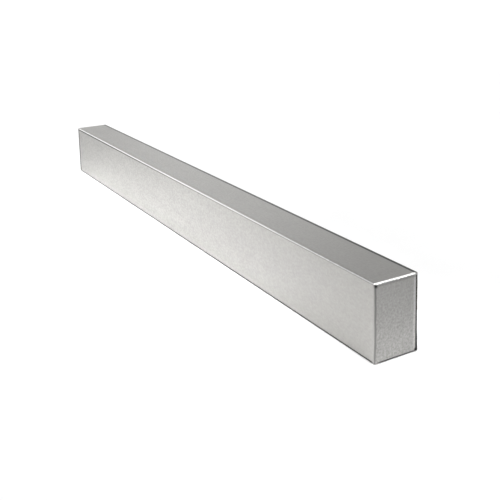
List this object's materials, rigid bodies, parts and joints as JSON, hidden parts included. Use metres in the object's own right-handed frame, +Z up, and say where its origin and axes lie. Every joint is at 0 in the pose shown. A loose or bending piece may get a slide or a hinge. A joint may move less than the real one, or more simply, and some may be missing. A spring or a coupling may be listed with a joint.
{
  "type": "rectangular key stock",
  "caption": "Solid rectangular steel bar with drawn edges and chamfered cut ends, cut into keys that lock a hub to a shaft.",
  "frame": {"origin": "middle of the seat face, the narrow face that the bar stands on", "axes": "+X along the bar towards the end nearest the viewer, +Y across the flanks, +Z up from the seat face to the crown face"},
  "size_m": [0.3048, 0.019, 0.0286],
  "materials": {
    "bright_steel": "bright cold-drawn steel with a fine satin grain, burnished long edges and ground cut ends"
  },
  "bodies": {
    "root": {"key_bar": "bright_steel"}
  },
  "joints": []
}
